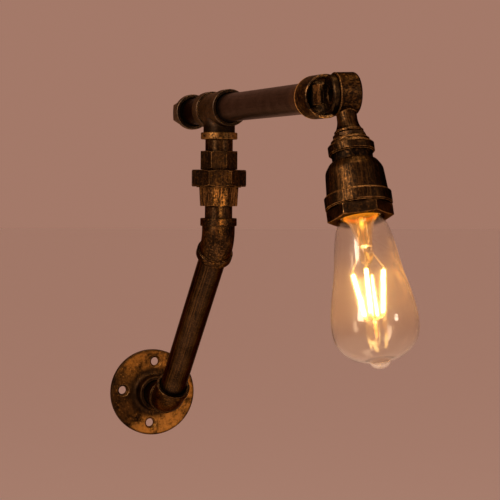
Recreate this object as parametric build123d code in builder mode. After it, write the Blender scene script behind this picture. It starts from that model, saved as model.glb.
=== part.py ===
from build123d import *
import os
from math import sin, cos, tan, radians, pi

# Industrial pipe wall light: a floor flange on the wall, a 45 degree offset riser, a union,
# a tee with a long arm, and a lamp head that tilts on a hollow knuckle swivel.
# Millimetres. The wall is the plane Y = 0, the light reaches out along -Y, +Z is up.
# Origin: centre of the flange's back face.

# ------------------------------------------------------------------ driving dimensions
PIPE_R = 10.65            # 1/2 in pipe, 21.3 outside
PIPE_ID_R = 8.1           # 16.2 inside
BODY_R = 12.7             # body of a cast fitting
BAND_R = 14.15            # bead band at a fitting's mouth
THREAD = 12.0             # pipe run into a fitting

FLANGE_R = 36.9
FLANGE_T = 5.3
FLANGE_H = 18.0
FLANGE_HUB_R = 14.6
FLANGE_PCD = 53.2
FLANGE_HOLE_R = 3.5
FLANGE_CSK_R = 5.2
FLANGE_TURN = 4.5         # hole pattern turned clockwise, seen from the room

ELBOW_A = 17.4            # centre to face, 45 degree elbow
ELBOW_BEND = 22.0
OUT_1 = 56.5              # wall to the lower elbow's centre
RISER_OUT = 192.8         # wall to the riser's axis
Z_2 = RISER_OUT - OUT_1   # upper elbow's centre height (45 degree offset)
ARM_Z = 238.0             # arm axis height

UNION_BOT = 162.9         # riser levels, bottom to top
NUT_BOT = 177.9
NUT_TOP = 190.9
UNION_TOP_BOT = 191.2
UNION_TOP = 205.4

TEE_RUN = 28.0            # centre to face along the arm
TEE_BRANCH = 23.6         # centre to face of the branch
TEE_BAND = 12.0

CAP_FRONT = 122.8         # wall to the end cap's mouth
CAP_BACK = 99.6
COLLAR_BACK = 407.5       # wall to the collar's back rim
COLLAR_FRONT = 430.5
COLLAR_R = 14.7

PIVOT_OUT = 463.0         # wall to the knuckle's pivot
TILT = 17.6               # lamp head's outward tilt at rest
LEAN = 2.0                # knuckle screwed on slightly past upright, seen along the arm

DRUM_R = 14.1
EYE_R = 12.6

# ------------------------------------------------------------------ axes and planes
PIV = Vector(0, -PIVOT_OUT, ARM_Z)
HINGE = Vector(cos(radians(LEAN)), 0, sin(radians(LEAN)))
HEAD_DIR = Vector(sin(radians(LEAN)) * cos(radians(TILT)), -sin(radians(TILT)),
                  -cos(radians(LEAN)) * cos(radians(TILT)))
X = Vector(1, 0, 0)
OUT = Vector(0, -1, 0)    # away from the wall
UP = Vector(0, 0, 1)
RISE = Vector(0, -cos(radians(45)), sin(radians(45)))
E1 = Vector(0, -OUT_1, 0)
E2 = Vector(0, -RISER_OUT, Z_2)
TEE_C = Vector(0, -RISER_OUT, ARM_Z)
FOOT = Vector(0, -RISER_OUT, 0)
ARM0 = Vector(0, 0, ARM_Z)


def square(o, d, x=X):
    """Plane at o whose normal is d."""
    return Plane(origin=o, x_dir=x, z_dir=d)


def section(o, d, x=X):
    """Plane through the axis (o, d): local x is the radius, local y runs along d."""
    return Plane(origin=o, x_dir=x, z_dir=Vector(*x).cross(Vector(*d)))


def turned(o, d, pts, mode=Mode.ADD, x=X, rounding=0.0):
    """Turn the closed profile pts, given as (radius, distance along d), about (o, d)."""
    with BuildSketch(section(o, d, x)) as profile:
        with BuildLine():
            if rounding:
                FilletPolyline(*pts, radius=rounding, close=True)
            else:
                Polyline(*pts, close=True)
        make_face()
    revolve(profile.sketch, axis=Axis(o, d), mode=mode)


def spun(o, d, line, tail, mode=Mode.ADD, x=X):
    """Turn a smooth outline, a spline through line closed by the straight points in tail."""
    with BuildSketch(section(o, d, x)) as profile:
        with BuildLine():
            Spline(*line)
            Polyline(line[-1], *tail, line[0])
        make_face()
    revolve(profile.sketch, axis=Axis(o, d), mode=mode)


def rod(o, d, r, a, b, mode=Mode.ADD, x=X):
    """Plain round bar or bore of radius r from a to b along d."""
    with BuildSketch(square(o + d * a, d, x)) as disc:
        Circle(r)
    extrude(disc.sketch, amount=b - a, mode=mode)


def prism(o, d, sides, r, a, b, turn=0.0, cut=1.2, x=X):
    """Wrench body: a polygon of corner radius r, its end corners turned off at 30 degrees."""
    with BuildSketch(square(o + d * a, d, x)) as poly:
        RegularPolygon(radius=r, side_count=sides, rotation=turn)
    extrude(poly.sketch, amount=b - a)
    flat = r * cos(pi / sides)
    drop = (r - flat + 0.25) * tan(radians(30)) * cut
    turned(o, d, [(0, a), (flat - 0.25, a), (r + 0.02, a + drop), (r + 0.02, b - drop),
                  (flat - 0.25, b), (0, b)], mode=Mode.INTERSECT, x=x)


def pipe_thread(r, a, b, pitch=1.8, depth=0.8, taper=0.0):
    """Outline of a run of thread ridges, from a to b at crest radius r."""
    n = max(2, int(round((b - a) / pitch)))
    step = (b - a) / n
    pts = []
    for i in range(n):
        z = a + i * step
        pts += [(r - depth, z), (r - taper * i, z + 0.35 * step), (r - taper * i, z + 0.65 * step)]
    pts.append((r - depth, b))
    return pts


# ------------------------------------------------------------------ wall flange
with BuildPart() as wall_flange:
    with BuildSketch(section(Vector(0, 0, 0), OUT)) as plate:
        with BuildLine():
            l1 = Polyline((PIPE_R, 0), (FLANGE_R - 0.5, 0), (FLANGE_R, 0.5), (FLANGE_R, FLANGE_T - 1.0))
            l2 = RadiusArc(l1 @ 1, (FLANGE_R - 1.0, FLANGE_T), -1.0)
            l3 = Line(l2 @ 1, (FLANGE_HUB_R + 4.0, FLANGE_T))
            l4 = RadiusArc(l3 @ 1, (FLANGE_HUB_R + 0.3, FLANGE_T + 3.7), 3.7)
            l5 = Line(l4 @ 1, (FLANGE_HUB_R, FLANGE_H - 0.9))
            l6 = RadiusArc(l5 @ 1, (FLANGE_HUB_R - 0.9, FLANGE_H), -0.9)
            l7 = Polyline(l6 @ 1, (PIPE_R + 1.2, FLANGE_H), (PIPE_R, FLANGE_H - 1.2), (PIPE_R, 0))
        make_face()
    revolve(axis=Axis((0, 0, 0), (0, -1, 0)))
    hole_plane = Plane(origin=(0, -FLANGE_T, 0), x_dir=(1, 0, 0), z_dir=(0, -1, 0))
    with Locations(hole_plane):
        with PolarLocations(FLANGE_PCD / 2, 4, start_angle=90 - FLANGE_TURN):
            CounterSinkHole(radius=FLANGE_HOLE_R, counter_sink_radius=FLANGE_CSK_R)

with BuildPart() as flange_nipple:
    turned(E1, OUT, [(PIPE_ID_R, -OUT_1 + 1.5), (PIPE_R - 0.7, -OUT_1 + 1.5), (PIPE_R, -OUT_1 + 2.4),
                     (PIPE_R, -ELBOW_A + THREAD - 0.8), (PIPE_R - 0.8, -ELBOW_A + THREAD),
                     (PIPE_ID_R, -ELBOW_A + THREAD)])


# ------------------------------------------------------------------ 45 degree elbows
def elbow_points(corner, d_in, d_out):
    """Path of an elbow in the Y-Z plane: mouth, corner, mouth."""
    a = corner + d_in * ELBOW_A
    b = corner + d_out * ELBOW_A
    return [(a.Y, a.Z), (corner.Y, corner.Z), (b.Y, b.Z)]


ELBOW_BAND = 6.2
with BuildPart() as lower_elbow:
    with BuildLine(Plane.YZ) as bend:
        FilletPolyline(*elbow_points(E1, -OUT, RISE), radius=ELBOW_BEND)
    with BuildSketch(square(E1 - OUT * ELBOW_A, OUT)):
        Circle(BODY_R)
    sweep()
    turned(E1, -OUT, [(5, ELBOW_A - ELBOW_BAND), (BAND_R, ELBOW_A - ELBOW_BAND), (BAND_R, ELBOW_A), (5, ELBOW_A)],
           rounding=0.8)
    turned(E1, RISE, [(5, ELBOW_A - ELBOW_BAND), (BAND_R, ELBOW_A - ELBOW_BAND), (BAND_R, ELBOW_A), (5, ELBOW_A)],
           rounding=0.8)
    with BuildLine(Plane.YZ):
        FilletPolyline(*elbow_points(E1, -OUT, RISE), radius=ELBOW_BEND)
    with BuildSketch(square(E1 - OUT * ELBOW_A, OUT)):
        Circle(PIPE_ID_R)
    sweep(mode=Mode.SUBTRACT)
    rod(E1, -OUT, PIPE_R, ELBOW_A - THREAD, ELBOW_A + 1, Mode.SUBTRACT)
    rod(E1, RISE, PIPE_R, ELBOW_A - THREAD, ELBOW_A + 1, Mode.SUBTRACT)
    turned(E1, -OUT, [(0, ELBOW_A - 1.2), (PIPE_R, ELBOW_A - 1.2), (PIPE_R + 1.3, ELBOW_A + 0.1), (0, ELBOW_A + 0.1)],
           Mode.SUBTRACT)
    turned(E1, RISE, [(0, ELBOW_A - 1.2), (PIPE_R, ELBOW_A - 1.2), (PIPE_R + 1.3, ELBOW_A + 0.1), (0, ELBOW_A + 0.1)],
           Mode.SUBTRACT)

with BuildPart() as upper_elbow:
    with BuildLine(Plane.YZ):
        FilletPolyline(*elbow_points(E2, -RISE, UP), radius=ELBOW_BEND)
    with BuildSketch(square(E2 - RISE * ELBOW_A, RISE)):
        Circle(BODY_R)
    sweep()
    turned(E2, -RISE, [(5, ELBOW_A - ELBOW_BAND), (BAND_R, ELBOW_A - ELBOW_BAND), (BAND_R, ELBOW_A), (5, ELBOW_A)],
           rounding=0.8)
    turned(E2, UP, [(5, ELBOW_A - ELBOW_BAND), (BAND_R, ELBOW_A - ELBOW_BAND), (BAND_R, ELBOW_A), (5, ELBOW_A)],
           rounding=0.8)
    with BuildLine(Plane.YZ):
        FilletPolyline(*elbow_points(E2, -RISE, UP), radius=ELBOW_BEND)
    with BuildSketch(square(E2 - RISE * ELBOW_A, RISE)):
        Circle(PIPE_ID_R)
    sweep(mode=Mode.SUBTRACT)
    rod(E2, -RISE, PIPE_R, ELBOW_A - THREAD, ELBOW_A + 1, Mode.SUBTRACT)
    rod(E2, UP, PIPE_R, ELBOW_A - THREAD, ELBOW_A + 1, Mode.SUBTRACT)
    turned(E2, -RISE, [(0, ELBOW_A - 1.2), (PIPE_R, ELBOW_A - 1.2), (PIPE_R + 1.3, ELBOW_A + 0.1), (0, ELBOW_A + 0.1)],
           Mode.SUBTRACT)
    turned(E2, UP, [(0, ELBOW_A - 1.2), (PIPE_R, ELBOW_A - 1.2), (PIPE_R + 1.3, ELBOW_A + 0.1), (0, ELBOW_A + 0.1)],
           Mode.SUBTRACT)

RISER_LEN = (E2 - E1).length
with BuildPart() as riser_pipe:
    a, b = ELBOW_A - THREAD, RISER_LEN - ELBOW_A + THREAD
    turned(E1, RISE, [(PIPE_ID_R, a), (PIPE_R - 0.8, a), (PIPE_R, a + 0.8), (PIPE_R, b - 0.8), (PIPE_R - 0.8, b),
                      (PIPE_ID_R, b)])

# ------------------------------------------------------------------ riser: nipple, union, nipple
with BuildPart() as lower_nipple:
    a, b = Z_2 + ELBOW_A - THREAD, UNION_BOT + 10.0
    turned(FOOT, UP, [(PIPE_ID_R, a), (PIPE_R - 0.8, a), (PIPE_R, a + 0.8), (PIPE_R, b - 0.8), (PIPE_R - 0.8, b),
                      (PIPE_ID_R, b)])

with BuildPart() as union_tail:
    # octagonal body with a slight draft, a threaded spigot above it
    with BuildSketch(square(FOOT + UP * UNION_BOT, UP)) as low:
        RegularPolygon(radius=15.3, side_count=8, rotation=8)
    with BuildSketch(square(FOOT + UP * (NUT_BOT - 0.3), UP)) as high:
        RegularPolygon(radius=16.2, side_count=8, rotation=8)
    loft([low.sketch, high.sketch])
    turned(FOOT, UP, [(0, UNION_BOT), (14.2, UNION_BOT), (16.3, UNION_BOT + 1.4), (16.3, NUT_BOT - 0.3), (0, NUT_BOT - 0.3)],
           Mode.INTERSECT)
    turned(FOOT, UP, [(5, NUT_BOT - 0.6), (17.2, NUT_BOT - 0.6), (17.2, 186.0), (5, 186.0)])
    rod(FOOT, UP, PIPE_ID_R, UNION_BOT - 1, 190, Mode.SUBTRACT)
    rod(FOOT, UP, PIPE_R, UNION_BOT - 1, UNION_BOT + 10.0, Mode.SUBTRACT)
    turned(FOOT, UP, [(0, UNION_BOT - 0.1), (PIPE_R + 1.3, UNION_BOT - 0.1), (PIPE_R, UNION_BOT + 1.2), (0, UNION_BOT + 1.2)],
           Mode.SUBTRACT)

with BuildPart() as union_gasket:
    turned(FOOT, UP, [(9.2, 186.0), (16.4, 186.0), (16.4, 186.5), (9.2, 186.5)])

with BuildPart() as union_nut:
    prism(FOOT, UP, 8, 22.35, NUT_BOT, NUT_TOP, turn=-36.6)
    rod(FOOT, UP, 17.2, NUT_BOT - 1, 188.6, Mode.SUBTRACT)
    rod(FOOT, UP, 13.4, NUT_BOT - 1, NUT_TOP + 1, Mode.SUBTRACT)
    turned(FOOT, UP, [(0, NUT_BOT - 0.1), (18.3, NUT_BOT - 0.1), (17.2, NUT_BOT + 1.0), (0, NUT_BOT + 1.0)], Mode.SUBTRACT)

with BuildPart() as union_head:
    prism(FOOT, UP, 8, 15.35, UNION_TOP_BOT, UNION_TOP, turn=-17.0 - 112.5)
    turned(FOOT, UP, [(5, 186.8), (16.6, 186.8), (16.6, 188.2), (13.0, 188.2), (13.0, UNION_TOP_BOT + 0.5), (5, UNION_TOP_BOT + 0.5)])
    rod(FOOT, UP, PIPE_ID_R, 186, UNION_TOP + 1, Mode.SUBTRACT)
    rod(FOOT, UP, PIPE_R, UNION_TOP - 10.0, UNION_TOP + 1, Mode.SUBTRACT)
    turned(FOOT, UP, [(0, UNION_TOP + 0.1), (PIPE_R + 1.3, UNION_TOP + 0.1), (PIPE_R, UNION_TOP - 1.2), (0, UNION_TOP - 1.2)],
           Mode.SUBTRACT)

TEE_FACE_Z = ARM_Z - TEE_BRANCH
with BuildPart() as upper_nipple:
    a, b = UNION_TOP - 10.0, TEE_FACE_Z + 10.6
    turned(FOOT, UP, [(PIPE_ID_R, a), (PIPE_R - 0.8, a), (PIPE_R, a + 0.8), (PIPE_R, b - 0.8), (PIPE_R - 0.8, b),
                      (PIPE_ID_R, b)])

# ------------------------------------------------------------------ tee, arm, rear stub and cap
with BuildPart() as pipe_tee:
    rod(TEE_C, OUT, BODY_R, -TEE_RUN + 2, TEE_RUN - 2)
    rod(TEE_C, -UP, 12.2, 0, TEE_BRANCH - 1)
    crotch = pipe_tee.edges().filter_by(lambda e: e.geom_type not in (GeomType.CIRCLE, GeomType.LINE))
    fillet(crotch, radius=2.2)
    turned(TEE_C, OUT, [(5, TEE_RUN - TEE_BAND), (BAND_R, TEE_RUN - TEE_BAND), (BAND_R, TEE_RUN), (5, TEE_RUN)], rounding=0.9)
    turned(TEE_C, -OUT, [(5, TEE_RUN - TEE_BAND), (BAND_R, TEE_RUN - TEE_BAND), (BAND_R, TEE_RUN), (5, TEE_RUN)], rounding=0.9)
    turned(TEE_C, -UP, [(5, TEE_BRANCH - 5.3), (BAND_R, TEE_BRANCH - 5.3), (BAND_R, TEE_BRANCH), (5, TEE_BRANCH)], rounding=0.8)
    rod(TEE_C, OUT, PIPE_ID_R, -TEE_RUN - 1, TEE_RUN + 1, Mode.SUBTRACT)
    rod(TEE_C, -UP, PIPE_ID_R, 0, TEE_BRANCH + 1, Mode.SUBTRACT)
    rod(TEE_C, OUT, PIPE_R, TEE_RUN - 13, TEE_RUN + 1, Mode.SUBTRACT)
    rod(TEE_C, OUT, PIPE_R, -TEE_RUN - 1, -TEE_RUN + 13, Mode.SUBTRACT)
    rod(TEE_C, -UP, PIPE_R, TEE_BRANCH - 10.6, TEE_BRANCH + 1, Mode.SUBTRACT)
    for d, h in ((OUT, TEE_RUN), (-OUT, TEE_RUN), (-UP, TEE_BRANCH)):
        turned(TEE_C, d, [(0, h + 0.1), (PIPE_R + 1.3, h + 0.1), (PIPE_R, h - 1.2), (0, h - 1.2)], Mode.SUBTRACT)

with BuildPart() as arm_pipe:
    a, b = RISER_OUT + TEE_RUN - 13, COLLAR_BACK + 11
    turned(ARM0, OUT, [(PIPE_ID_R, a), (PIPE_R - 0.8, a), (PIPE_R, a + 0.8), (PIPE_R, b - 0.8), (PIPE_R - 0.8, b),
                       (PIPE_ID_R, b)])

with BuildPart() as rear_nipple:
    a, b = CAP_FRONT - 12, RISER_OUT - TEE_RUN + 13
    turned(ARM0, OUT, [(PIPE_ID_R, a), (PIPE_R - 0.8, a), (PIPE_R, a + 0.8), (PIPE_R, b - 0.8), (PIPE_R - 0.8, b),
                       (PIPE_ID_R, b)])

with BuildPart() as end_cap:
    # hexagonal head at the closed end, round body, bead band at the mouth
    prism(ARM0, OUT, 6, 12.3, CAP_BACK, CAP_BACK + 11, turn=30)
    turned(ARM0, OUT, [(0, CAP_BACK + 9), (BODY_R - 0.4, CAP_BACK + 9), (BODY_R, CAP_FRONT - 3), (0, CAP_FRONT - 3)])
    turned(ARM0, OUT, [(2, CAP_FRONT - 6.5), (BAND_R, CAP_FRONT - 6.5), (BAND_R, CAP_FRONT), (2, CAP_FRONT)], rounding=0.9)
    rod(ARM0, OUT, PIPE_R, CAP_FRONT - 12, CAP_FRONT + 1, Mode.SUBTRACT)
    turned(ARM0, OUT, [(0, CAP_FRONT - 14), (7.5, CAP_FRONT - 14), (PIPE_R - 1, CAP_FRONT - 11.9), (0, CAP_FRONT - 11.9)],
           Mode.SUBTRACT)
    turned(ARM0, OUT, [(0, CAP_FRONT + 0.1), (PIPE_R + 1.3, CAP_FRONT + 0.1), (PIPE_R, CAP_FRONT - 1.2), (0, CAP_FRONT - 1.2)],
           Mode.SUBTRACT)

# ------------------------------------------------------------------ knuckle swivel, arm side
MOUTH_R = 12.7            # open mouth of the collar
BASE_A, BASE_B = COLLAR_BACK + 11.6, COLLAR_BACK + 15.2
with BuildPart() as arm_collar:
    turned(ARM0, OUT, [(PIPE_R, COLLAR_BACK), (COLLAR_R, COLLAR_BACK), (COLLAR_R, COLLAR_FRONT), (PIPE_R, COLLAR_FRONT)],
           rounding=0.9)
    rod(ARM0, OUT, PIPE_R, COLLAR_BACK - 1, COLLAR_BACK + 11, Mode.SUBTRACT)
    rod(ARM0, OUT, MOUTH_R, COLLAR_BACK + 11, COLLAR_FRONT + 1, Mode.SUBTRACT)
    rod(ARM0, OUT, PIPE_ID_R, COLLAR_BACK, COLLAR_FRONT, Mode.SUBTRACT)
    turned(ARM0, OUT, [(0, COLLAR_FRONT + 0.1), (MOUTH_R + 1.1, COLLAR_FRONT + 0.1), (MOUTH_R, COLLAR_FRONT - 1.0),
                       (0, COLLAR_FRONT - 1.0)], Mode.SUBTRACT)

KN = Plane(origin=PIV, x_dir=HINGE, z_dir=OUT)      # knuckle frame: x hinge, y up, z out
EYE_L, EYE_R_FACE = -11.2, -7.2                    # the eye's two faces along the hinge
BOSS_R, BOSS_END = 8.3, -4.2                       # boss of the eye, which turns in the drum
POCKET_FLOOR, POCKET_HIGH = -9.2, 3.1              # milled pocket: its floor along the hinge, and its flat top edge
TONGUE_LOW, TONGUE_HIGH = 6.0, 7.0                 # tongue below and above the arm's axis
with BuildPart() as knuckle_arm_half:
    # threaded foot in the collar's mouth
    rod(ARM0, OUT, MOUTH_R, BASE_A, BASE_B, x=HINGE)
    # tongue from the foot to the eye, thick at the root, its cheek stepped out in front of the mouth
    with BuildSketch(Plane(origin=PIV - KN.y_dir * TONGUE_LOW, x_dir=HINGE, z_dir=-KN.y_dir)) as tongue:
        with BuildLine():
            Polyline((-9.4, BASE_A - PIVOT_OUT + 1), (-9.4, -26.5), (EYE_L, -26.5), (EYE_L, 0), (EYE_R_FACE, 0),
                     (EYE_R_FACE, -16.5), (-3.5, -22.0), (-3.5, BASE_A - PIVOT_OUT + 1), close=True)
        make_face()
    extrude(tongue.sketch, amount=-(TONGUE_LOW + TONGUE_HIGH))
    # the eye around the pivot, and the boss that turns in the drum
    turned(PIV, HINGE, [(0, EYE_L), (EYE_R - 0.9, EYE_L), (EYE_R, EYE_L + 0.9), (EYE_R, EYE_R_FACE), (BOSS_R, EYE_R_FACE),
                        (BOSS_R, BOSS_END), (0, BOSS_END)], x=OUT)
    rod(PIV, HINGE, 6.2, EYE_L - 1, BOSS_END + 1, Mode.SUBTRACT, x=OUT)
    # pocket milled into the outer face: round about the pivot, straight along the tongue, with a flat top edge
    with BuildSketch(Plane(origin=PIV + HINGE * (EYE_L - 1), x_dir=OUT, z_dir=HINGE)) as pocket:
        Circle(11.0)
        with Locations((-6.4, (5.6 - POCKET_HIGH) / 2)):
            Rectangle(12.8, 5.6 + POCKET_HIGH)
        with Locations((0, -POCKET_HIGH - 10)):
            Rectangle(40, 20, mode=Mode.SUBTRACT)
    extrude(pocket.sketch, amount=POCKET_FLOOR - EYE_L + 1, mode=Mode.SUBTRACT)
    with BuildSketch(Plane(origin=PIV + HINGE * (EYE_L - 1), x_dir=OUT, z_dir=HINGE)) as shelf:
        with Locations((-8, -POCKET_HIGH - 6.5)):
            Rectangle(14.4, 13)
    extrude(shelf.sketch, amount=1.7 + 1, mode=Mode.SUBTRACT)
    # wire way through the foot
    rod(ARM0, OUT, 4.6, BASE_A - 1, BASE_B + 0.01, Mode.SUBTRACT)

with BuildPart() as pivot_sleeve:
    # hollow pivot screw: threaded into the eye, its slotted head behind the drum's web
    turned(PIV, HINGE, [(5.0, POCKET_FLOOR), (6.2, POCKET_FLOOR), (6.2, -1.15), (9.0, -1.15), (9.0, 0.1), (8.7, 0.4), (5.0, 0.4)], x=OUT)
    with BuildSketch(Plane(origin=PIV + HINGE * 0.4, x_dir=OUT, z_dir=HINGE)) as slot:
        Rectangle(24, 1.8, rotation=32)
    extrude(slot.sketch, amount=-0.8, mode=Mode.SUBTRACT)

with BuildPart() as friction_washer:
    turned(PIV, HINGE, [(8.5, -7.15), (10.4, -7.15), (10.4, -6.65), (8.5, -6.65)], x=OUT)

# ------------------------------------------------------------------ knuckle swivel, lamp side
RIM_L = -6.75
DRUM_END = 8.5
with BuildPart() as knuckle_head_half:
    # drum with a rounded far end
    with BuildSketch(section(PIV, HINGE, OUT)) as drum:
        with BuildLine():
            d1 = Polyline((0, RIM_L), (DRUM_R - 0.5, RIM_L), (DRUM_R, RIM_L + 0.5), (DRUM_R, DRUM_END - 2.6))
            d2 = RadiusArc(d1 @ 1, (DRUM_R - 2.6, DRUM_END), -2.6)
            d3 = Polyline(d2 @ 1, (0, DRUM_END), (0, RIM_L))
        make_face()
    revolve(drum.sketch, axis=Axis(PIV, HINGE))
    # neck that flares to a collar, then a threaded spigot
    with BuildSketch(section(PIV, HEAD_DIR, HINGE)) as neck:
        with BuildLine():
            n0 = Polyline((0, 6), (6.6, 6), (6.6, 17.4))
            n1 = Spline(n0 @ 1, (6.95, 20.3), (8.0, 23.6), (9.5, 25.6), tangents=((0, 1), (1, 0.8)))
            n2 = Polyline(n1 @ 1, (9.5, 26.8), (8.2, 27.2), (8.2, 39.0), (0, 39.0), (0, 6))
        make_face()
    revolve(neck.sketch, axis=Axis(PIV, HEAD_DIR))
    # ring groove in the left face, washer seat, and the bore that the boss turns in
    turned(PIV, HINGE, [(11.2, -7), (13.1, -7), (13.1, -5.0), (11.2, -5.0)], Mode.SUBTRACT, x=OUT)
    turned(PIV, HINGE, [(0, -7), (10.7, -7), (10.7, -6.6), (0, -6.6)], Mode.SUBTRACT, x=OUT)
    rod(PIV, HINGE, BOSS_R + 0.06, -7, BOSS_END + 0.2, Mode.SUBTRACT, x=OUT)
    # wire chamber, cap seat and ways through
    rod(PIV, HINGE, 10.8, -1.2, 9, Mode.SUBTRACT, x=OUT)
    rod(PIV, HINGE, 6.26, -7, 0, Mode.SUBTRACT, x=OUT)
    rod(PIV, HEAD_DIR, 4.4, 8.0, 41, Mode.SUBTRACT, x=HINGE)

with BuildPart() as drum_cap:
    turned(PIV, HINGE, [(0, 5.8), (10.8, 5.8), (10.8, 8.6), (10.0, 9.1), (6.0, 9.5), (0, 9.6)], x=OUT)
    with Locations(Plane(origin=PIV + HINGE * 9.6, x_dir=OUT, z_dir=HINGE)):
        with Locations((6.2, 0), (-6.2, 0)):
            Hole(radius=1.1, depth=2.2)

# ------------------------------------------------------------------ lamp head
with BuildPart() as neck_locknut:
    prism(PIV, HEAD_DIR, 8, 10.9, 27.6, 30.6, turn=11, x=HINGE)
    rod(PIV, HEAD_DIR, 8.2, 27, 31, Mode.SUBTRACT, x=HINGE)

with BuildPart() as head_reducer:
    with BuildSketch(section(PIV, HEAD_DIR, HINGE)) as red:
        with BuildLine():
            r0 = Line((8.2, 31.0), (11.6, 31.0))
            r1 = RadiusArc(r0 @ 1, (12.6, 32.0), 1.0)
            r2 = Line(r1 @ 1, (12.6, 33.6))
            r3 = RadiusArc(r2 @ 1, (13.4, 34.4), -0.8)
            r4 = Line(r3 @ 1, (14.1, 34.4))
            r5 = RadiusArc(r4 @ 1, (15.0, 35.3), 0.9)
            r6 = Line(r5 @ 1, (15.0, 40.1))
            r7 = RadiusArc(r6 @ 1, (14.1, 41.0), 0.9)
            r8 = Polyline(r7 @ 1, (13.2, 41.0), (13.2, 36.0), (9.0, 35.4), (8.2, 35.4), (8.2, 31.0))
        make_face()
    revolve(red.sketch, axis=Axis(PIV, HEAD_DIR))

with BuildPart() as spigot_nut:
    # thin nut inside the reducer that keeps it on the neck's thread
    prism(PIV, HEAD_DIR, 6, 10.0, 35.6, 38.6, turn=0, x=HINGE)
    rod(PIV, HEAD_DIR, 8.2, 35, 39, Mode.SUBTRACT, x=HINGE)

with BuildPart() as head_nipple:
    turned(PIV, HEAD_DIR, [(10.6, 36.6), (12.4, 36.6), (13.2, 37.4), (13.2, 51.9), (12.4, 52.7), (10.6, 52.7)], x=HINGE)

BELL_BOT = 76.7
with BuildPart() as lamp_bell:
    with BuildSketch(section(PIV, HEAD_DIR, HINGE)) as bell:
        with BuildLine():
            b0 = Line((13.2, 46.3), (14.3, 46.3))
            b1 = Spline(b0 @ 1, (16.5, 48.5), (18.4, 51.8), (19.05, 56.2), tangents=((1, 0.35), (0.1, 1)))
            b2 = Line(b1 @ 1, (19.9, 68.0))
            b3 = Line(b2 @ 1, (21.0, 68.2))
            b4 = RadiusArc(b3 @ 1, (21.65, 68.9), 0.7)
            b5 = Line(b4 @ 1, (21.65, BELL_BOT - 0.8))
            b6 = RadiusArc(b5 @ 1, (20.85, BELL_BOT), 0.8)
            b7 = Polyline(b6 @ 1, (17.4, BELL_BOT), (17.4, 55.0), (15.6, 53.2), (13.2, 53.2), (13.2, 46.3))
        make_face()
    revolve(bell.sketch, axis=Axis(PIV, HEAD_DIR))

HEX_BOT = 84.5
with BuildPart() as hex_bushing:
    prism(PIV, HEAD_DIR, 6, 21.3, BELL_BOT + 0.1, HEX_BOT, turn=20.5, cut=0.3, x=HINGE)
    rod(PIV, HEAD_DIR, 17.4, 69.4, BELL_BOT + 0.6, x=HINGE)
    rod(PIV, HEAD_DIR, 14.25, 69, HEX_BOT + 1, Mode.SUBTRACT, x=HINGE)
    turned(PIV, HEAD_DIR, [(0, HEX_BOT + 0.1), (15.2, HEX_BOT + 0.1), (14.25, HEX_BOT - 0.8), (0, HEX_BOT - 0.8)],
           Mode.SUBTRACT, x=HINGE)

FLOOR_TOP = 58.6
with BuildPart() as socket_insulator:
    # moulded lamp holder body: floor, skirt and two terminal pockets
    turned(PIV, HEAD_DIR, [(0, 54.2), (14.6, 54.2), (17.0, 56.4), (17.0, 68.9), (14.1, 68.9), (14.1, FLOOR_TOP),
                           (0, FLOOR_TOP)], x=HINGE)
    with Locations(Plane(origin=PIV + HEAD_DIR * 54.2, x_dir=HINGE, z_dir=-HEAD_DIR)):
        with Locations((7.2, 0), (-7.2, 0)):
            Hole(radius=1.6, depth=4.0)
    rod(PIV, HEAD_DIR, 1.5, 54, 59, Mode.SUBTRACT, x=HINGE)

with BuildPart() as socket_shell:
    # screw shell: a rounded thread form in thin sheet
    inner, z = [], 59.4
    while z < 77.0:
        inner += [(13.45, z), (13.75, z + 0.9), (13.75, z + 1.9), (13.45, z + 2.7)]
        z += 3.6
    outer = [(r + 0.32, t) for r, t in reversed(inner)]
    turned(PIV, HEAD_DIR, [(4.5, FLOOR_TOP), (4.5, 58.95), (13.45, 58.95)] + inner + [(13.45, 80.4), (13.95, 80.6), (13.77, 79.6)]
           + outer + [(13.77, FLOOR_TOP)], x=HINGE)

with BuildPart() as socket_contact:
    # centre contact: a rivet through the floor and a domed spring plate
    turned(PIV, HEAD_DIR, [(0, 53.4), (2.6, 53.4), (2.6, 54.2), (1.5, 54.2), (1.5, FLOOR_TOP), (3.9, FLOOR_TOP), (3.9, 58.9),
                           (2.4, 59.5), (0, 59.7)], x=HINGE)

with BuildPart() as terminal_screws:
    for s in (1, -1):
        o = PIV + HINGE * (7.2 * s)
        turned(o, HEAD_DIR, [(0, 52.5), (2.3, 52.5), (2.6, 52.9), (2.6, 54.2), (1.6, 54.2), (1.6, 58.0), (0, 58.0)], x=HINGE)
        with BuildSketch(Plane(origin=o + HEAD_DIR * 52.5, x_dir=HINGE, z_dir=HEAD_DIR)) as nick:
            Rectangle(6, 0.7, rotation=35 * s)
        extrude(nick.sketch, amount=0.8, mode=Mode.SUBTRACT)

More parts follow.
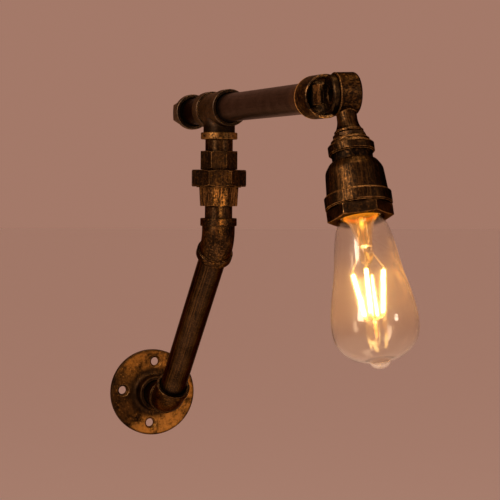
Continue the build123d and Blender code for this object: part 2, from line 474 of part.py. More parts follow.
# ------------------------------------------------------------------ filament bulb
GLASS_TOP = 81.4
WALL = 0.9
outline = [(12.3, 82.8), (13.3, 84.6), (14.6, 86.4), (16.3, 89.2), (17.7, 93.6), (19.2, 100.7), (20.9, 112.7),
           (22.7, 122.5), (24.7, 131.3), (26.4, 139.7), (27.5, 147.5), (27.75, 153.4), (27.1, 159.6), (25.4, 164.6),
           (22.6, 168.8), (18.8, 172.2), (14.2, 174.7), (9.6, 176.2), (7.2, 177.2), (6.1, 178.7), (4.6, 180.2), (2.5, 181.1), (0, 181.4)]
inside = [(r - WALL, t) for r, t in outline[:10]] + [(26.6, 147.4), (26.85, 153.3), (26.2, 159.3), (24.6, 164.1), (21.9, 168.1),
           (18.3, 171.3), (13.9, 173.8), (9.3, 175.3), (6.5, 176.3), (5.2, 177.9), (3.4, 179.2), (0, 179.8)]
with BuildPart() as bulb_glass:
    with BuildSketch(section(PIV, HEAD_DIR, HINGE)) as glass:
        with BuildLine():
            g0 = Line((12.3, GLASS_TOP), outline[0])
            g1 = Spline(*outline)
            g2 = Line(g1 @ 1, inside[-1])
            g3 = Spline(*reversed(inside))
            g4 = Polyline(g3 @ 1, (12.3 - WALL, GLASS_TOP), (12.3, GLASS_TOP))
        make_face()
    revolve(glass.sketch, axis=Axis(PIV, HEAD_DIR))

with BuildPart() as bulb_screw_cap:
    crest, z = [], 63.8
    while z < 78.0:
        crest += [(12.6, z), (13.1, z + 1.0), (13.1, z + 1.9), (12.6, z + 2.8)]
        z += 3.6
    turned(PIV, HEAD_DIR, [(10.6, 62.7), (12.0, 62.7)] + crest + [(12.8, 81.6), (13.1, 82.2), (12.8, 82.6), (12.3, 82.6),
                                                              (12.3, 64.7), (10.6, 63.6)], x=HINGE)

with BuildPart() as bulb_cap_insulator:
    turned(PIV, HEAD_DIR, [(0, 60.8), (5.0, 60.8), (10.6, 62.7), (10.6, 64.5), (0, 64.5)], x=HINGE)

with BuildPart() as bulb_contact:
    turned(PIV, HEAD_DIR, [(0, 60.05), (3.2, 60.1), (4.8, 60.5), (4.8, 60.8), (0, 60.8)], x=HINGE)

with BuildPart() as bulb_stem:
    # flared glass stem sealed in the neck, pinched solid, then a thin rod that carries the lower hub
    with BuildSketch(section(PIV, HEAD_DIR, HINGE)) as stem:
        with BuildLine():
            s0 = Polyline((10.4, 81.5), (11.4, 81.5), (11.4, 82.7))
            s1 = Spline(s0 @ 1, (8.6, 86.2), (6.6, 91.6), (5.5, 98.0), (4.8, 107.3), tangents=((-0.7, 1), (0, 1)))
            s2 = Polyline(s1 @ 1, (4.4, 110.8), (3.2, 113.2), (1.5, 114.6), (1.3, 148.5), (0, 148.5), (0, 104.0),
                          (3.2, 102.6))
            s3 = Spline(s2 @ 1, (4.4, 96.0), (5.5, 90.6), (7.6, 85.6), (10.4, 81.5), tangents=((0, -1), (0.7, -1)))
        make_face()
    revolve(stem.sketch, axis=Axis(PIV, HEAD_DIR))

FIL_TOP_R, FIL_BOT_R = 9.7, 5.9
FIL_TOP, FIL_BOT = 119.3, 148.3
FIL_TURN, FIL_TWIST = 28.0, 14.0
HP = Plane(origin=PIV, x_dir=HINGE, z_dir=HEAD_DIR)


def at(r, ang, t):
    """Point in the lamp head's frame: radius, angle round the axis, distance from the pivot."""
    return HP.from_local_coords(Vector(r * cos(radians(ang)), r * sin(radians(ang)), t))


def wire(p, q, r, a=0.0, b=0.0):
    """Round wire of radius r from p to q, its ends carried a and b further."""
    d = (q - p).normalized()
    rod(p, d, r, -a, (q - p).length + b, x=HINGE.cross(d).normalized())


with BuildPart() as bulb_filaments:
    for k in range(4):
        ang = FIL_TURN + 90 * k
        wire(at(FIL_TOP_R, ang, FIL_TOP), at(FIL_BOT_R, ang + FIL_TWIST, FIL_BOT), 1.15)

with BuildPart() as bulb_supports:
    # lead wires from the stem to the filament tops, and a spider under the rod that ties the bottoms
    for k in range(4):
        ang = FIL_TURN + 90 * k
        p, q = at(FIL_TOP_R, ang, FIL_TOP), at(FIL_BOT_R, ang + FIL_TWIST, FIL_BOT)
        d = (q - p).normalized()
        wire(p - d * 2.6, p, 0.6)
        wire(q, q + d * 1.5, 0.6)
        wire(at(3.6, ang, 106.5), p - d * 2.2, 0.35, 0, 0.3)
        wire(at(0.6, ang, 149.6), q + d * 1.0, 0.35, 0, 0.3)
    turned(PIV, HEAD_DIR, [(0, 148.5), (1.7, 148.5), (1.7, 150.3), (0, 150.3)], x=HINGE)

# ------------------------------------------------------------------ write the pieces
PIECES = {
    "wall_flange": wall_flange, "flange_nipple": flange_nipple, "lower_elbow": lower_elbow,
    "riser_pipe": riser_pipe, "upper_elbow": upper_elbow, "lower_nipple": lower_nipple,
    "union_tail": union_tail, "union_gasket": union_gasket, "union_nut": union_nut, "union_head": union_head,
    "upper_nipple": upper_nipple, "pipe_tee": pipe_tee, "arm_pipe": arm_pipe, "rear_nipple": rear_nipple,
    "end_cap": end_cap, "arm_collar": arm_collar, "knuckle_arm_half": knuckle_arm_half,
    "pivot_sleeve": pivot_sleeve, "friction_washer": friction_washer, "knuckle_head_half": knuckle_head_half,
    "drum_cap": drum_cap, "neck_locknut": neck_locknut, "head_reducer": head_reducer, "spigot_nut": spigot_nut,
    "head_nipple": head_nipple, "lamp_bell": lamp_bell, "hex_bushing": hex_bushing,
    "socket_insulator": socket_insulator, "socket_shell": socket_shell, "socket_contact": socket_contact,
    "terminal_screws": terminal_screws, "bulb_glass": bulb_glass, "bulb_screw_cap": bulb_screw_cap,
    "bulb_cap_insulator": bulb_cap_insulator, "bulb_contact": bulb_contact, "bulb_stem": bulb_stem,
    "bulb_filaments": bulb_filaments, "bulb_supports": bulb_supports,
}

os.makedirs("parts", exist_ok=True)
for name, piece in PIECES.items():
    piece.part.label = name
    export_step(piece.part, "parts/" + name + ".step")
    box = piece.part.bounding_box()
    print(name, "solids", len(piece.part.solids()), "volume", round(piece.part.volume, 1), "valid", piece.part.is_valid,
          "box", [round(v, 1) for v in (*box.min, *box.max)])
print("hinge axis", tuple(HINGE), "head axis", tuple(HEAD_DIR), "pivot", tuple(PIV))
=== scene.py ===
import bpy
import math
from mathutils import Matrix, Vector


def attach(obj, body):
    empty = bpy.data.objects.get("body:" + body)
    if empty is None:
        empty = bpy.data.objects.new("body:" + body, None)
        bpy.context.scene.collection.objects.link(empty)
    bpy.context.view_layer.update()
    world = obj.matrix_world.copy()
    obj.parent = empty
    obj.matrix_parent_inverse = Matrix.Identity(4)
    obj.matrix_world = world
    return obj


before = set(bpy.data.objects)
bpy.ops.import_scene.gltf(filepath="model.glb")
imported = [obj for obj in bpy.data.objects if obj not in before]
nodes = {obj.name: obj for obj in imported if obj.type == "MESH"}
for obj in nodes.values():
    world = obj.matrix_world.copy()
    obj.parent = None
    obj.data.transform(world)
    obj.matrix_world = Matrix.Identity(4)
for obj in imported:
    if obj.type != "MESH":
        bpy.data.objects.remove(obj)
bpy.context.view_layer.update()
scene = bpy.context.scene

# ------------------------------------------------------------------ the object's axes, in metres
OUT = Vector((0.0, -1.0, 0.0))
UP = Vector((0.0, 0.0, 1.0))
RISE = Vector((0.0, -math.cos(math.radians(45)), math.sin(math.radians(45))))
TILT, LEAN = math.radians(17.6), math.radians(2.0)
PIV = Vector((0.0, -0.463, 0.238))
HINGE = Vector((math.cos(LEAN), 0.0, math.sin(LEAN)))
HEAD = Vector((math.sin(LEAN) * math.cos(TILT), -math.sin(TILT), -math.cos(LEAN) * math.cos(TILT)))
E1 = Vector((0.0, -0.0565, 0.0))
E2 = Vector((0.0, -0.1928, 0.1363))
FOOT = Vector((0.0, -0.1928, 0.0))
ARM0 = Vector((0.0, 0.0, 0.238))
ORIGIN = Vector((0.0, 0.0, 0.0))


# ------------------------------------------------------------------ node helpers
class Tree:
    """Small helper that builds a material's node tree."""

    def __init__(self, name):
        self.mat = bpy.data.materials.new(name)
        self.mat.use_nodes = True
        self.nt = self.mat.node_tree
        self.nt.nodes.clear()
        self.out = self.nt.nodes.new("ShaderNodeOutputMaterial")
        self.x = 0

    def new(self, kind, **props):
        n = self.nt.nodes.new(kind)
        n.location = (self.x, 0)
        self.x += 40
        for k, v in props.items():
            setattr(n, k, v)
        return n

    def put(self, sock, v):
        if isinstance(v, bpy.types.NodeSocket):
            self.nt.links.new(v, sock)
        elif v is not None:
            if sock.type == "RGBA" and len(v) == 3:
                v = (*v, 1.0)
            sock.default_value = v

    def math(self, op, a, b=None, c=None, clamp=False):
        n = self.new("ShaderNodeMath", operation=op, use_clamp=clamp)
        for i, v in enumerate((a, b, c)):
            if v is not None:
                self.put(n.inputs[i], v)
        return n.outputs[0]

    def vec(self, op, a, b=None, scale=None):
        n = self.new("ShaderNodeVectorMath", operation=op)
        self.put(n.inputs[0], a)
        if b is not None:
            self.put(n.inputs[1], b)
        if scale is not None:
            self.put(n.inputs["Scale"], scale)
        return n.outputs["Value"] if op in ("DOT_PRODUCT", "LENGTH", "DISTANCE") else n.outputs["Vector"]

    def noise(self, vec, scale, detail=4.0, rough=0.55, distortion=0.0):
        n = self.new("ShaderNodeTexNoise")
        self.put(n.inputs["Vector"], vec)
        n.inputs["Scale"].default_value = scale
        n.inputs["Detail"].default_value = detail
        n.inputs["Roughness"].default_value = rough
        n.inputs["Distortion"].default_value = distortion
        return n.outputs["Fac"]

    def step(self, v, a, b, lo=0.0, hi=1.0):
        n = self.new("ShaderNodeMapRange", interpolation_type="SMOOTHSTEP", clamp=True)
        self.put(n.inputs["Value"], v)
        for i, w in enumerate((a, b, lo, hi)):
            self.put(n.inputs[i + 1], w)
        return n.outputs["Result"]

    def mix(self, f, a, b, blend="MIX"):
        n = self.new("ShaderNodeMix", data_type="RGBA", blend_type=blend, clamp_factor=True)
        self.put(n.inputs[0], f)
        self.put(n.inputs[6], a)
        self.put(n.inputs[7], b)
        return n.outputs[2]

    def obj(self):
        return self.new("ShaderNodeTexCoord").outputs["Object"]

    def axis(self, pos, p0, d):
        """(distance along d from p0, radius, unit vector away from the axis)"""
        rel = self.vec("SUBTRACT", pos, tuple(p0))
        t = self.vec("DOT_PRODUCT", rel, tuple(d))
        along = self.vec("SCALE", tuple(d), scale=t)
        rad = self.vec("SUBTRACT", rel, along)
        return t, self.vec("LENGTH", rad), self.vec("NORMALIZE", rad), along

    def surface(self, shader):
        self.nt.links.new(shader, self.out.inputs["Surface"])

    def principled(self, **kw):
        n = self.new("ShaderNodeBsdfPrincipled")
        for k, v in kw.items():
            self.put(n.inputs[k.replace("_", " ")], v)
        return n.outputs["BSDF"]


DARK = (0.0072, 0.0045, 0.0028)
BROWN = (0.030, 0.0175, 0.0090)
GOLD = (0.31, 0.142, 0.038)
PALE = (0.58, 0.30, 0.098)


def metal(name, p0, d, dark=DARK, mid=BROWN, gold=GOLD, streak=0.5, around=1.0, along=9.0, patch=0.3, wear=0.7,
          wear_r=0.0007, rough=(0.34, 0.6), metallic=1.0, ends=(), grime=0.75, ao=0.006, bump=0.25, cast=0.4, bevel=0.0006,
          blot_k=110.0, fine_k=620.0, fade=None, tint=(0.42, 0.36, 0.28), bands=(), side=None):
    """Antique bronze: dark coat, brushed streaks along the axis, gold rubbed edges, and darkening in the corners that
    is partly soiling and partly painted shade.
    """
    k = Tree(name)
    pos = k.obj()
    nrm = k.new("ShaderNodeNewGeometry").outputs["Normal"]
    t, r, unit, run = k.axis(pos, p0, d)
    sc = k.vec("ADD", k.vec("SCALE", unit, scale=around), k.vec("SCALE", run, scale=along))
    s1 = k.noise(sc, 9.0, 6.0, 0.62)
    s2 = k.noise(sc, 34.0, 5.0, 0.6)
    streaks = k.step(k.math("MULTIPLY_ADD", s2, 0.5, k.math("MULTIPLY", s1, 0.5)), 0.46, 0.68)
    blot = k.noise(pos, blot_k, 5.0, 0.6)
    fine = k.noise(pos, fine_k, 5.0, 0.65)
    grain = k.noise(pos, 1900.0, 3.0, 0.6)
    bev = k.new("ShaderNodeBevel", samples=6)
    bev.inputs["Radius"].default_value = wear_r
    edge = k.math("SUBTRACT", 1.0, k.vec("DOT_PRODUCT", bev.outputs["Normal"], nrm))
    occ = k.new("ShaderNodeAmbientOcclusion", samples=6)
    occ.inputs["Distance"].default_value = ao
    open_ = occ.outputs["AO"]
    edge = k.step(k.math("MULTIPLY", edge, k.step(fine, 0.25, 0.6, 0.45, 1.25)), 0.015, 0.12)
    edge = k.math("MULTIPLY", edge, k.step(open_, 0.35, 0.8))
    edge = k.math("MULTIPLY", edge, k.step(k.math("MULTIPLY_ADD", blot, 0.6, k.math("MULTIPLY", fine, 0.4)), 0.38, 0.60, 0.12, 1.0))
    # coats
    col = k.mix(k.step(blot, 0.3, 0.7), dark, mid)
    col = k.mix(k.math("MULTIPLY", k.step(fine, 0.5, 0.75), 0.25), col, gold)
    g = k.math("MULTIPLY", streaks, streak)
    speck = k.step(k.math("MULTIPLY_ADD", fine, 0.62, k.math("MULTIPLY", blot, 0.38)), 0.47, 0.64)
    g = k.math("ADD", g, k.math("MULTIPLY", speck, patch), clamp=True)
    if side:
        # painted shade: the part turned away from this direction is painted darker and with less gold, as light falls
        # from this direction
        s_ = k.step(k.vec("DOT_PRODUCT", unit, tuple(side[0])), side[1], side[2])
        g = k.math("MULTIPLY", g, k.math("MULTIPLY_ADD", s_, 1.0 - side[3], side[3]))
        col = k.mix(k.math("MULTIPLY", k.math("SUBTRACT", 1.0, s_), 0.6), col, dark)
    col = k.mix(k.math("MULTIPLY", g, 0.9), col, gold)
    if fade:
        # painted shade: beyond this distance the coat is painted plain dark, with fewer rubbed edges
        away = k.step(k.vec("DOT_PRODUCT", pos, tuple(fade[0])), fade[1], fade[2])
        col = k.mix(k.math("MULTIPLY", away, 0.9), col, (0.008, 0.005, 0.0032))
        edge = k.math("MULTIPLY", edge, k.math("MULTIPLY_ADD", away, -fade[3], 1.0))
    for q, a_, b_, colour, amount in bands:
        # painted highlight: a band painted bright between two distances along q
        x_ = k.vec("DOT_PRODUCT", pos, tuple(q))
        soft = 0.0004
        on = k.math("MULTIPLY", k.step(x_, a_ - soft, a_ + soft), k.step(x_, b_ - soft, b_ + soft, 1.0, 0.0))
        on = k.math("MULTIPLY", on, k.step(k.math("MULTIPLY_ADD", s2, 0.5, k.math("MULTIPLY", fine, 0.5)), 0.38, 0.56))
        col = k.mix(k.math("MULTIPLY", on, amount), col, colour)
    for q, colour, amount in ends:
        # faces that look along q keep a coat of their own; on the hex bushing the face toward the bulb is painted
        # lighter gold, painted light from the bulb
        flat = k.step(k.vec("DOT_PRODUCT", nrm, tuple(q)), 0.9, 0.97)
        col = k.mix(k.math("MULTIPLY", flat, k.step(fine, 0.25, 0.7, amount, amount * 0.65)), col, colour)
    col = k.mix(k.math("MULTIPLY", edge, wear), col, PALE)
    # painted shade: the coat is darkened where ambient occlusion closes in, in corners, recesses and between parts;
    # partly soiling, partly painted shade
    grime_and_shade_mask = k.math("MULTIPLY", k.math("SUBTRACT", 1.0, k.step(open_, 0.3, 0.95)), grime)
    col = k.mix(grime_and_shade_mask, col, (0.006, 0.0035, 0.002))
    ro = k.step(k.math("MULTIPLY_ADD", fine, 0.5, k.math("MULTIPLY", s2, 0.5)), 0.35, 0.65, rough[1], rough[0])
    ro = k.math("ADD", ro, k.math("MULTIPLY", grime_and_shade_mask, 0.3), clamp=True)
    h = k.math("MULTIPLY_ADD", fine, 0.6, k.math("MULTIPLY", grain, 0.4))
    h = k.math("ADD", h, k.math("MULTIPLY", blot, cast))
    h = k.math("ADD", h, k.math("MULTIPLY", s2, streak * 0.8))
    b2 = k.new("ShaderNodeBevel", samples=6)
    b2.inputs["Radius"].default_value = bevel
    bp = k.new("ShaderNodeBump")
    bp.inputs["Strength"].default_value = bump
    bp.inputs["Distance"].default_value = 0.0006
    k.put(bp.inputs["Height"], h)
    k.put(bp.inputs["Normal"], b2.outputs["Normal"])
    k.surface(k.principled(Base_Color=col, Metallic=metallic, Roughness=ro, Normal=bp.outputs["Normal"], Specular_Tint=tint))
    return k.mat


def paint(name, *mats):
    o = nodes[name]
    o.data.materials.clear()
    for m in mats:
        o.data.materials.append(m)


# ------------------------------------------------------------------ pipes
def pipe(name, p0, d, **kw):
    a = dict(streak=0.35, around=1.0, along=6.0, patch=0.12, wear=0.5, cast=0.1, bump=0.12, rough=(0.26, 0.42))
    a.update(kw)
    paint(name, metal("m_" + name, p0, d, **a))


pipe("riser_pipe", E1, RISE, dark=(0.013, 0.0082, 0.0055), mid=(0.036, 0.0215, 0.0125), gold=(0.20, 0.095, 0.028), streak=0.62, around=1.2, along=1.6,
     patch=0.08, blot_k=60.0, rough=(0.24, 0.38), side=((-0.92, -0.3, -0.3), -0.2, 0.75, 0.15))
pipe("arm_pipe", ARM0, OUT, dark=(0.028, 0.0210, 0.0165), mid=(0.060, 0.0440, 0.0345), gold=(0.15, 0.098, 0.066), streak=0.40, patch=0.05, around=1.3, along=1.4,
     # painted highlight: a brighter band near the arm pipe's end at the collar
     rough=(0.28, 0.40), tint=(0.62, 0.53, 0.47), bands=((OUT, 0.385, 0.4075, (0.16, 0.088, 0.040), 0.5),))
pipe("rear_nipple", ARM0, OUT, dark=(0.012, 0.0085, 0.0065), mid=(0.018, 0.0128, 0.0098), gold=(0.06, 0.039, 0.026), streak=0.25, patch=0.05,
     rough=(0.28, 0.40), tint=(0.42, 0.38, 0.34))
pipe("flange_nipple", ORIGIN, OUT, streak=0.2)
pipe("lower_nipple", FOOT, UP, streak=0.35, gold=(0.38, 0.21, 0.08), rough=(0.17, 0.28))
pipe("upper_nipple", FOOT, UP, streak=0.35, gold=(0.38, 0.21, 0.08), rough=(0.17, 0.28))
pipe("head_nipple", PIV, HEAD, streak=0.05, patch=0.03, dark=(0.0035, 0.0026, 0.0020), mid=(0.007, 0.005, 0.0038), rough=(0.46, 0.62), tint=(0.14, 0.125, 0.10))


# ------------------------------------------------------------------ cast fittings
def casting(name, p0, d, **kw):
    a = dict(streak=0.2, patch=0.35, wear=0.75, bump=0.3, rough=(0.32, 0.55))
    a.update(kw)
    paint(name, metal("m_" + name, p0, d, **a))


casting("lower_elbow", E1, OUT, ends=((RISE, DARK, 0.9),), patch=0.22, rough=(0.28, 0.46))
casting("upper_elbow", E2, UP, ends=((-RISE, DARK, 0.9), ((0, 0, 1), DARK, 0.5)), patch=0.28, rough=(0.24, 0.42))
# the tee's lower part is painted dark: painted shade
casting("pipe_tee", ARM0, OUT, ends=(((0, -1, 0), DARK, 0.95), ((0, 1, 0), DARK, 0.95), ((0, 0, -1), DARK, 0.9)), patch=0.2,
        dark=(0.026, 0.0185, 0.0130), mid=(0.062, 0.0440, 0.0315), tint=(0.55, 0.48, 0.40), fade=(-UP, -0.2285, -0.2235, 0.0),
        # painted highlight: a bright band at the tee's foot
        bands=((UP, 0.2140, 0.2197, (0.34, 0.175, 0.052), 0.75),))
casting("end_cap", ARM0, OUT, ends=(((0, -1, 0), DARK, 0.95), ((0, 1, 0), DARK, 0.6)), patch=0.2, dark=(0.040, 0.0285, 0.0200), mid=(0.095, 0.0670, 0.0470), tint=(0.65, 0.57, 0.48))
casting("union_tail", FOOT, UP, patch=0.45, streak=1.0, around=1.3, along=9.0, gold=(0.42, 0.21, 0.062), cast=0.15, bump=0.2)
casting("union_nut", FOOT, UP, patch=0.08, streak=0.2, around=1.4, along=7.0, wear=0.7, cast=0.15, bump=0.2, mid=(0.015, 0.0095, 0.0055))
casting("union_head", FOOT, UP, patch=0.08, streak=0.2, around=1.4, along=7.0, wear=0.7, cast=0.15, bump=0.2, mid=(0.015, 0.0095, 0.0055))
casting("arm_collar", ARM0, OUT, patch=0.45, bump=0.4, fine_k=480.0, gold=(0.40, 0.215, 0.075), wear=0.9, wear_r=0.0010, ends=(((0, -1, 0), DARK, 0.5),), tint=(0.42, 0.37, 0.30),
        dark=(0.010, 0.0074, 0.0053), mid=(0.032, 0.0230, 0.0158),
        # painted highlight: a bright band on the collar's back rim
        bands=((OUT, 0.4068, 0.4099, (0.95, 0.56, 0.20), 1.0),))
# the knuckle arm half is painted dark beyond about 0.45 m out from the wall, in the pocket by the drum: painted shade
casting("knuckle_arm_half", PIV, HINGE, patch=0.8, wear=0.9, dark=(0.020, 0.0145, 0.0098), mid=(0.080, 0.0560, 0.0340), gold=(0.60, 0.34, 0.120),
        fade=(OUT, 0.4475, 0.4505, 0.8), tint=(0.30, 0.26, 0.20),
        grime=0.95, ao=0.010)
casting("knuckle_head_half", PIV, HINGE, patch=0.06, streak=0.46, around=0.8, along=34.0, wear=1.0, mid=(0.012, 0.0078, 0.0046), cast=0.2,
        gold=(0.29, 0.135, 0.036), tint=(0.22, 0.18, 0.13))
casting("drum_cap", PIV, HINGE, patch=0.2)
casting("neck_locknut", PIV, HEAD, patch=0.05, streak=0.05, wear=0.3)
casting("head_reducer", PIV, HEAD, patch=0.14, streak=0.2, wear=1.0, mid=(0.016, 0.0100, 0.0055), gold=(0.29, 0.135, 0.036), tint=(0.20, 0.165, 0.12),
        side=((-1, 0, 0), -0.45, 0.5, 0.3))
casting("lamp_bell", PIV, HEAD, patch=0.06, streak=0.36, around=1.6, along=5.0, wear=1.0, mid=(0.016, 0.0100, 0.0055), gold=(0.30, 0.138, 0.036),
        tint=(0.19, 0.155, 0.115),
        side=((-1, 0, 0), -0.45, 0.5, 0.3))
# painted light: the bushing's face toward the bulb is painted lighter gold
casting("hex_bushing", PIV, HEAD, patch=0.10, streak=0.1, wear=1.0, wear_r=0.0009, ends=((HEAD, (0.13, 0.062, 0.018), 0.9),))


# ------------------------------------------------------------------ the flange, brushed gold round a dark hub
def flange_metal():
    k = Tree("m_wall_flange")
    pos = k.obj()
    nrm = k.new("ShaderNodeNewGeometry").outputs["Normal"]
    t, r, unit, run = k.axis(pos, ORIGIN, OUT)
    fine = k.noise(pos, 420.0, 6.0, 0.66)
    blot = k.noise(pos, 95.0, 5.0, 0.62)
    grain = k.noise(pos, 1600.0, 3.0, 0.6)
    brush = k.noise(k.vec("MULTIPLY", pos, (1.0, 1.0, 0.22)), 900.0, 4.0, 0.6)
    bev = k.new("ShaderNodeBevel", samples=6)
    bev.inputs["Radius"].default_value = 0.0009
    occ = k.new("ShaderNodeAmbientOcclusion", samples=6)
    occ.inputs["Distance"].default_value = 0.009
    open_ = occ.outputs["AO"]
    edge = k.math("SUBTRACT", 1.0, k.vec("DOT_PRODUCT", bev.outputs["Normal"], nrm))
    edge = k.math("MULTIPLY", k.step(edge, 0.015, 0.14), k.step(open_, 0.4, 0.8))
    plate = k.math("MULTIPLY", k.step(r, 0.0185, 0.0245), k.math("SUBTRACT", 1.0, k.step(r, 0.0345, 0.0366)))
    wob = k.math("MULTIPLY_ADD", blot, 1.1, k.math("MULTIPLY", fine, 0.7))
    gold = k.math("MULTIPLY", plate, k.step(wob, 0.72, 1.12))
    gold = k.math("MAXIMUM", gold, k.math("MULTIPLY", k.step(brush, 0.5, 0.7), 0.35))
    # painted shade: less gold on the plate's left part, where less light falls
    gold = k.math("MULTIPLY", gold, k.step(k.vec("DOT_PRODUCT", unit, (-0.94, 0.0, -0.2)), 0.30, 0.90, 1.0, 0.15))
    col = k.mix(k.step(blot, 0.3, 0.7), DARK, (0.045, 0.023, 0.009))
    col = k.mix(gold, col, (0.36, 0.158, 0.029))
    col = k.mix(k.math("MULTIPLY", k.step(fine, 0.55, 0.75), k.math("MULTIPLY", plate, 0.5)), col, (0.56, 0.28, 0.07))
    # painted highlight: the lower right of the plate is painted a lighter gold
    low_highlight = k.math("MULTIPLY", k.step(k.vec("DOT_PRODUCT", unit, (0.35, 0.0, -0.93)), 0.35, 0.9), k.math("MULTIPLY", plate, k.step(wob, 0.62, 1.0)))
    col = k.mix(k.math("MULTIPLY", low_highlight, 0.6), col, (0.52, 0.25, 0.052))
    col = k.mix(k.math("MULTIPLY", edge, 0.6), col, (0.60, 0.35, 0.14))
    # darkened where ambient occlusion closes in, round the hub and in the holes: partly soiling, partly painted shade
    grime_and_shade_mask = k.math("MULTIPLY", k.math("SUBTRACT", 1.0, k.step(open_, 0.35, 0.95)), 0.85)
    col = k.mix(grime_and_shade_mask, col, (0.010, 0.006, 0.004))
    h = k.math("MULTIPLY_ADD", fine, 0.55, k.math("MULTIPLY", grain, 0.35))
    h = k.math("ADD", h, k.math("MULTIPLY", blot, 0.7))
    h = k.math("ADD", h, k.math("MULTIPLY", brush, 0.4))
    b2 = k.new("ShaderNodeBevel", samples=6)
    b2.inputs["Radius"].default_value = 0.0006
    bp = k.new("ShaderNodeBump")
    bp.inputs["Strength"].default_value = 0.4
    bp.inputs["Distance"].default_value = 0.0006
    k.put(bp.inputs["Height"], h)
    k.put(bp.inputs["Normal"], b2.outputs["Normal"])
    ro = k.step(fine, 0.35, 0.65, 0.58, 0.4)
    k.surface(k.principled(Base_Color=col, Metallic=1.0, Roughness=ro, Normal=bp.outputs["Normal"], Specular_Tint=(0.55, 0.45, 0.33)))
    return k.mat


paint("wall_flange", flange_metal())


# ------------------------------------------------------------------ brass, steel, plastic, fibre
def simple(name, col_a, col_b, p0, d, metallic, rough, scale=500.0, bump=0.15, streak=0.4):
    k = Tree("m_" + name)
    pos = k.obj()
    t, r, unit, run = k.axis(pos, p0, d)
    a = k.noise(pos, scale, 5.0, 0.6)
    b = k.noise(k.vec("ADD", k.vec("SCALE", unit, scale=0.15), k.vec("SCALE", run, scale=60.0)), 20.0, 4.0, 0.6)
    f = k.step(k.math("MULTIPLY_ADD", b, streak, k.math("MULTIPLY", a, 1.0 - streak)), 0.36, 0.66)
    col = k.mix(f, col_a, col_b)
    bp = k.new("ShaderNodeBump")
    bp.inputs["Strength"].default_value = bump
    bp.inputs["Distance"].default_value = 0.0004
    k.put(bp.inputs["Height"], k.math("ADD", a, k.math("MULTIPLY", b, 0.5)))
    k.surface(k.principled(Base_Color=col, Metallic=metallic, Roughness=k.step(a, 0.3, 0.7, rough + 0.1, rough - 0.08),
                           Normal=bp.outputs["Normal"]))
    return k.mat


paint("union_gasket", simple("union_gasket", (0.05, 0.02, 0.015), (0.12, 0.05, 0.035), FOOT, UP, 0.0, 0.8))
paint("friction_washer", simple("friction_washer", (0.2, 0.19, 0.18), (0.42, 0.4, 0.38), PIV, HINGE, 1.0, 0.35))
paint("pivot_sleeve", metal("m_pivot_sleeve", PIV, HINGE, patch=0.05, streak=0.05, wear=0.25, wear_r=0.0005, rough=(0.4, 0.6)))
paint("spigot_nut", simple("spigot_nut", (0.25, 0.16, 0.06), (0.6, 0.42, 0.18), PIV, HEAD, 1.0, 0.35))
paint("terminal_screws", simple("terminal_screws", (0.3, 0.2, 0.08), (0.65, 0.46, 0.2), PIV, HEAD, 1.0, 0.3))
paint("socket_shell", simple("socket_shell", (0.42, 0.26, 0.09), (0.75, 0.52, 0.2), PIV, HEAD, 1.0, 0.28))
paint("socket_contact", simple("socket_contact", (0.42, 0.28, 0.1), (0.72, 0.5, 0.22), PIV, HEAD, 1.0, 0.25))
paint("socket_insulator", simple("socket_insulator", (0.02, 0.018, 0.016), (0.05, 0.045, 0.04), PIV, HEAD, 0.0, 0.55))
paint("bulb_screw_cap", simple("bulb_screw_cap", (0.5, 0.36, 0.16), (0.78, 0.6, 0.3), PIV, HEAD, 1.0, 0.25))
paint("bulb_cap_insulator", simple("bulb_cap_insulator", (0.01, 0.01, 0.012), (0.03, 0.03, 0.035), PIV, HEAD, 0.0, 0.15))
paint("bulb_contact", simple("bulb_contact", (0.4, 0.4, 0.4), (0.62, 0.62, 0.6), PIV, HEAD, 1.0, 0.4))


# ------------------------------------------------------------------ glass and light
def glass(name, tint, rough=0.0, glow=None, root=None, haze=0.0, smoke=0.0):
    k = Tree("m_" + name)
    pos = k.obj()
    t, r, unit, run = k.axis(pos, PIV, HEAD)
    w = k.noise(pos, 60.0, 2.0, 0.5)
    sm = k.noise(pos, 300.0, 4.0, 0.6)
    bp = k.new("ShaderNodeBump")
    bp.inputs["Strength"].default_value = 0.06
    bp.inputs["Distance"].default_value = 0.0008
    k.put(bp.inputs["Height"], w)
    ro = k.step(sm, 0.45, 0.8, rough, rough + 0.03)
    if root:
        tint = k.mix(k.step(t, root[1], root[2]), root[0], tint)
    body = k.principled(Base_Color=tint, Roughness=ro, IOR=1.45, Transmission_Weight=1.0, Normal=bp.outputs["Normal"])
    if haze:
        # a thin film on the glass scatters a little of the filaments' light
        film = k.principled(Base_Color=tint, Roughness=k.step(sm, 0.3, 0.7, 0.18, 0.24), IOR=1.45, Transmission_Weight=1.0)
        m = k.new("ShaderNodeMixShader")
        k.put(m.inputs[0], k.step(t, 0.148, 0.164, haze, haze * 0.2))
        k.nt.links.new(body, m.inputs[1])
        k.nt.links.new(film, m.inputs[2])
        body = m.outputs[0]
    if smoke:
        va = k.new("ShaderNodeVolumeAbsorption")
        va.inputs["Color"].default_value = (0.80, 0.62, 0.42, 1.0)
        va.inputs["Density"].default_value = smoke
        k.nt.links.new(va.outputs[0], k.out.inputs["Volume"])
    if glow:
        e = k.new("ShaderNodeEmission")
        e.inputs["Color"].default_value = (*glow[0], 1.0)
        k.put(e.inputs["Strength"], glow[1](k, t, r))
        a = k.new("ShaderNodeAddShader")
        k.nt.links.new(body, a.inputs[0])
        k.nt.links.new(e.outputs[0], a.inputs[1])
        body = a.outputs[0]
    k.surface(body)
    return k.mat


